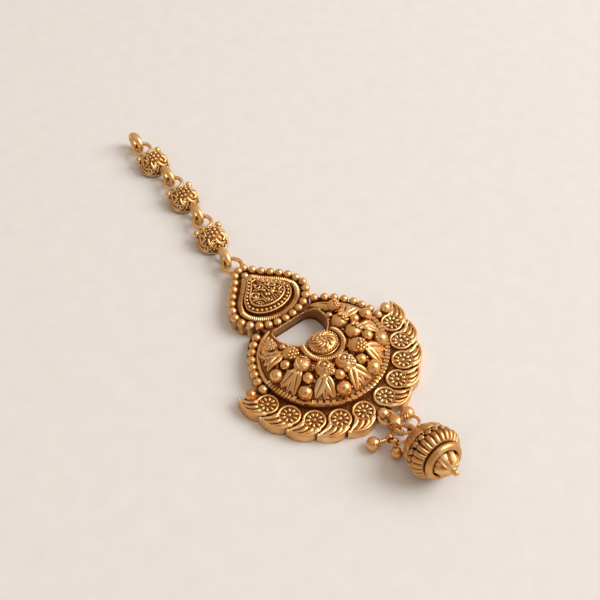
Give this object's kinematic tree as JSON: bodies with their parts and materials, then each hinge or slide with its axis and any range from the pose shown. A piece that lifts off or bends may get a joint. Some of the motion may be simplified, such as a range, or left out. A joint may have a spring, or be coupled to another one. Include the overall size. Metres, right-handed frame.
{
  "type": "maang tikka",
  "caption": "Forehead jewel: openwork crescent pendant with a teardrop plaque, mango border and relief, hung from a linked chain and carrying a bell drop and ball drops.",
  "frame": {"origin": "on the pendant's flat back, at the centre of the circle that the crescent and its mango border follow", "axes": "+Z out of the pendant's face, +Y along the pendant's axis towards the chain's free end, +X to the right seen from the front"},
  "size_m": [0.0378, 0.1099, 0.0099],
  "materials": {
    "gold": "antique matte gold plating with dark oxidised recesses",
    "polished_gold": "antique gold plating, rubbed bright"
  },
  "bodies": {
    "root": {"pendant": "gold", "chain_link_1": "gold", "chain_link_2": "gold", "chain_link_3": "gold", "end_ring": "polished_gold", "bail": "polished_gold", "jump_ring_left": "polished_gold", "jump_ring_right": "polished_gold", "ball_drop_left": "polished_gold", "ball_drop_right": "polished_gold", "ball_drop_low": "polished_gold", "bell_drop": "gold"}
  },
  "joints": []
}
